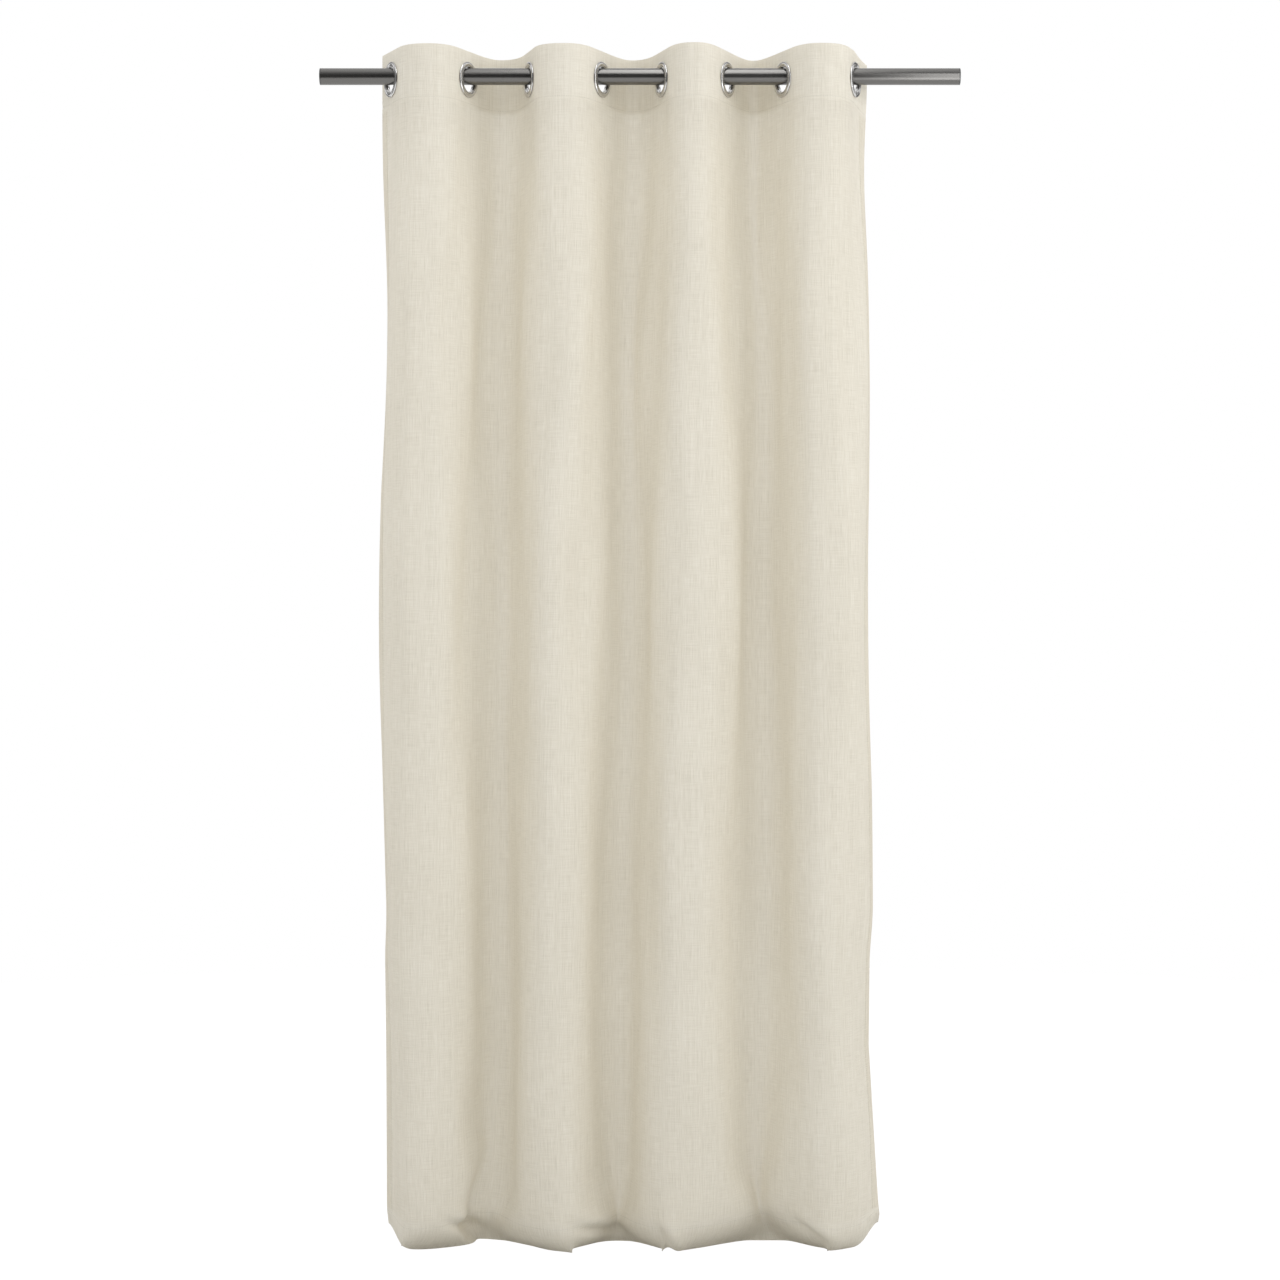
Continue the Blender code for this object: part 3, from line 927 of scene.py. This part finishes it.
def thread_material():
    """Ecru thread with the twist of its plies."""
    material, nodes, links = new_material("ecru_thread")
    shader = nodes["Principled BSDF"]
    set_inputs(shader, Roughness=0.55)
    place = nodes.new("ShaderNodeTexCoord")
    twist = nodes.new("ShaderNodeTexWave")
    set_inputs(twist, Scale=900.0)
    links.new(place.outputs["Object"], twist.inputs["Vector"])
    tone = two_tones(nodes, links, twist.outputs["Fac"], (0.56, 0.53, 0.45), (0.70, 0.67, 0.58))
    links.new(tone, shader.inputs["Base Color"])
    return material


ecru_thread = thread_material()


def stitch_row(path, lift):
    """Stitches along a path as rings of points, each bowed up out of the cloth."""
    run = measured(path)
    starts = np.arange(STITCH_PITCH / 2, run[-1] - STITCH_LENGTH, STITCH_PITCH)
    rings = []
    for part, radius, rise in ((0, 0.4, 0.2), (0.5, 1.0, 1.0), (1, 0.4, 0.2)):
        place = starts + part * STITCH_LENGTH
        centre = np.stack([np.interp(place, run, path[:, axis]) for axis in range(3)], axis=1)
        up = np.stack([np.interp(place, run, lift[:, axis]) for axis in range(3)], axis=1)
        ahead = np.stack([np.interp(place + 0.001, run, path[:, axis]) for axis in range(3)], axis=1)
        ahead = ahead - centre
        side = np.cross(up, ahead)
        side /= np.maximum(np.linalg.norm(side, axis=1, keepdims=True), 1e-9)
        for turn in np.arange(THREAD_SIDES) * 2 * math.pi / THREAD_SIDES:
            rings.append(centre + up * THREAD_RADIUS * (rise + radius * math.sin(turn))
                         + side * THREAD_RADIUS * radius * math.cos(turn))
    return np.stack(rings, axis=1)


def row_path(drop, columns, offset):
    """Places on the cloth's face, or behind it, at one distance below the top edge."""
    row = int(np.searchsorted(drops, drop)) - 1
    share = (drop - drops[row]) / (drops[row + 1] - drops[row])
    points = panel[row, columns] * (1 - share) + panel[row + 1, columns] * share
    normal = panel_normals[row, columns]
    return points - normal * offset, normal if offset == 0 else -normal


for number, columns in enumerate(strip_columns):
    rows = [row_path(drop, columns, offset)
            for drop, behind in ((HEADING_STITCH, FACING_OFFSET), (drops[-1] - HEM_STITCH, HEM_OFFSET))
            for offset in (0, behind)]
    if number in (0, 8):
        column = SIDE_HEM_STEPS if number == 0 else len(across) - 1 - SIDE_HEM_STEPS
        side = panel[side_rows, column]
        normal = panel_normals[side_rows, column]
        inward = (1 if number == 0 else -1) * -SIDE_STITCH_INSET
        shift = (panel[side_rows, column + 1] - panel[side_rows, column]) * inward / COLUMN_SPACING
        rows += [(side + shift, normal), (side + shift - normal * HEM_OFFSET, -normal)]
    stitches = np.concatenate([stitch_row(*row) for row in rows])
    count = THREAD_SIDES
    faces = []
    for stitch in range(len(stitches)):
        base = stitch * 3 * count
        for ring in (0, 1):
            for k in range(count):
                a, b = base + ring * count + k, base + ring * count + (k + 1) % count
                faces.append((a, b, b + count, a + count))
        faces.append(tuple(base + k for k in reversed(range(count))))
        faces.append(tuple(base + 2 * count + k for k in range(count)))
    mesh = bpy.data.meshes.new(f"stitching_{number + 1}")
    mesh.from_pydata(stitches.reshape(-1, 3).tolist(), [], faces)
    mesh.shade_smooth()
    mesh.materials.append(ecru_thread)
    stitching = bpy.data.objects.new(f"stitching_{number + 1}", mesh)
    bpy.context.scene.collection.objects.link(stitching)
    hang(stitching, number)

# --------------------------------------------------------------- Heading tape
# A strip of stiff white non-woven tape lies between the cloth and the turned
# heading. The eyelets are pressed through all three, so the top edge stands
# smooth.

TAPE_OFFSET = 0.0010
TAPE_TOP = 0.002
TAPE_LENGTH = 0.088


def tape_material():
    """White felted fibres that let most of the light through."""
    material, nodes, links = new_material("white_heading_tape")
    shader = nodes["Principled BSDF"]
    set_inputs(shader, Roughness=0.9)
    place = nodes.new("ShaderNodeTexCoord")
    fibres = nodes.new("ShaderNodeTexNoise")
    set_inputs(fibres, Scale=700.0, Detail=6.0)
    links.new(place.outputs["Object"], fibres.inputs["Vector"])
    tone = two_tones(nodes, links, fibres.outputs["Fac"], (0.80, 0.79, 0.76), (0.97, 0.96, 0.94))
    links.new(tone, shader.inputs["Base Color"])
    bump = nodes.new("ShaderNodeBump")
    set_inputs(bump, Strength=0.4, Distance=0.0002)
    links.new(fibres.outputs["Fac"], bump.inputs["Height"])
    links.new(bump.outputs["Normal"], shader.inputs["Normal"])
    glow = nodes.new("ShaderNodeBsdfTranslucent")
    links.new(tone, glow.inputs["Color"])
    thin = mixed(nodes, links, 0.92, shader.outputs["BSDF"], glow.outputs["BSDF"])
    links.new(thin, nodes["Material Output"].inputs["Surface"])
    return material


white_tape = tape_material()
for number, columns in enumerate(strip_columns):
    layers, uvs, normals = [], [], []
    for row in range(1, int(np.searchsorted(drops, TAPE_TOP + TAPE_LENGTH))):
        layers.append(offset_rows(row, columns, TAPE_OFFSET))
        uvs.append(np.stack([across[columns], np.full(len(columns), drops[row])], axis=1))
        normals.append(panel_normals[row, columns])
    tape = layer_mesh(f"heading_tape_strip_{number + 1}", layers, uvs, normals, white_tape)
    if number < 8:
        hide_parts(f"heading_tape_{number + 1}")
    hang(tape, number)

# ---------------------------------------------------------------------- Stage
# A plain pale floor, white surroundings, soft studio light and a camera in
# front of the curtain at half its height.

EYE_DISTANCE = 4.78
EYE_LEVEL = -0.952
VIEW_WIDTH = 2.163


def soft_light(name, place, aim, size, power, for_metal):
    """A soft box that lights either the cloth or the metal's reflections."""
    data = bpy.data.lights.new(name, 'AREA')
    data.shape = 'RECTANGLE'
    data.size, data.size_y = size
    data.energy = power
    light = bpy.data.objects.new(name, data)
    light.location = place
    light.rotation_euler = (Vector(aim) - Vector(place)).to_track_quat('-Z', 'Y').to_euler()
    light.visible_glossy = for_metal
    light.visible_diffuse = not for_metal
    light.visible_transmission = not for_metal
    light.visible_camera = False
    bpy.context.scene.collection.objects.link(light)


def bright_floor():
    """Pale matt floor that also glows a little, so that it stays white."""
    material, nodes, links = new_material("pale_floor")
    shader = nodes["Principled BSDF"]
    set_inputs(shader, Base_Color=(0.55, 0.55, 0.54, 1), Roughness=0.9, Specular_IOR_Level=0.0)
    lit = nodes.new("ShaderNodeEmission")
    set_inputs(lit, Strength=1.12)
    path = nodes.new("ShaderNodeLightPath")
    share = nodes.new("ShaderNodeMath")
    share.operation = 'MULTIPLY'
    share.inputs[1].default_value = 0.90
    seen = nodes.new("ShaderNodeMath")
    seen.operation = 'ADD'
    links.new(path.outputs["Is Camera Ray"], seen.inputs[0])
    links.new(path.outputs["Is Glossy Ray"], seen.inputs[1])
    links.new(seen.outputs["Value"], share.inputs[0])
    mix = mixed(nodes, links, share.outputs["Value"], shader.outputs["BSDF"], lit.outputs["Emission"])
    links.new(mix, nodes["Material Output"].inputs["Surface"])
    return material


bpy.ops.mesh.primitive_circle_add(vertices=128, radius=4.2, fill_type='NGON',
                                  location=(0, 0, FLOOR - 0.001))
floor = bpy.context.object
floor.name = "studio_floor"
floor.data.materials.append(bright_floor())

soft_light("key_light", (3.5, -2.2, 0.7), (0, 0, -0.4), (1.8, 2.2), 34, False)
soft_light("rod_end_light", (1.06, -1.20, -0.30), (0.6, 0, -0.2), (0.6, 2.4), 12, True)
soft_light("rod_top_light", (0.13, -1.00, 2.0), (0.13, 0, 0), (0.50, 2.6), 17, True)


def studio_world():
    """White all round, with the dark side of the room in front for the metal to mirror."""
    world = bpy.data.worlds.new("studio")
    world.use_nodes = True
    nodes, links = world.node_tree.nodes, world.node_tree.links
    output = nodes["World Output"]
    nodes.remove(nodes["Background"])

    def background(colour, strength):
        node = nodes.new("ShaderNodeBackground")
        set_inputs(node, Color=colour, Strength=strength)
        return node

    place = nodes.new("ShaderNodeTexCoord")
    facing = nodes.new("ShaderNodeVectorMath")
    facing.operation = 'DOT_PRODUCT'
    facing.inputs[1].default_value = (0.0, -1.0, 0.0)
    links.new(place.outputs["Generated"], facing.inputs[0])
    shade = in_range(nodes, links, facing.outputs["Value"], 1.05, 0.08, 0.25, 0.97)
    apart = nodes.new("ShaderNodeSeparateXYZ")
    links.new(place.outputs["Generated"], apart.inputs["Vector"])
    sideways = nodes.new("ShaderNodeMath")
    sideways.operation = 'ABSOLUTE'
    links.new(apart.outputs["X"], sideways.inputs[0])
    flags = nodes.new("ShaderNodeValToRGB")
    bands = ((0.0, 1.0), (0.42, 1.0), (0.50, 0.12), (0.66, 0.18),
             (0.74, 1.0), (0.84, 0.9), (0.90, 0.08), (1.0, 0.3))
    for place_in_ramp, value in bands[1:-1]:
        flags.color_ramp.elements.new(place_in_ramp)
    for element, (place_in_ramp, value) in zip(flags.color_ramp.elements, bands):
        element.position = place_in_ramp
        element.color = (value, value, value, 1)
    links.new(sideways.outputs["Value"], flags.inputs["Fac"])
    both = nodes.new("ShaderNodeMath")
    both.operation = 'MULTIPLY'
    links.new(shade, both.inputs[0])
    links.new(flags.outputs["Color"], both.inputs[1])
    mirrored = background((1, 1, 1, 1), 1.0)
    links.new(both.outputs["Value"], mirrored.inputs["Strength"])
    seen = background((1, 1, 1, 1), 1.0)
    around = background((1.0, 1.0, 1.0, 1), 0.99)
    path = nodes.new("ShaderNodeLightPath")
    glossy = mixed(nodes, links, path.outputs["Is Glossy Ray"],
                   around.outputs["Background"], mirrored.outputs["Background"])
    whole = mixed(nodes, links, path.outputs["Is Camera Ray"], glossy, seen.outputs["Background"])
    links.new(whole, output.inputs["Surface"])
    return world


bpy.context.scene.world = studio_world()
bpy.context.scene.view_settings.view_transform = 'Standard'

camera_data = bpy.data.cameras.new("camera")
camera_data.sensor_width = 36.0
camera_data.lens = 36.0 * EYE_DISTANCE / VIEW_WIDTH
camera = bpy.data.objects.new("camera", camera_data)
camera.location = (0, -EYE_DISTANCE, EYE_LEVEL)
camera.rotation_euler = (math.radians(90), 0, 0)
bpy.context.scene.collection.objects.link(camera)
bpy.context.scene.camera = camera
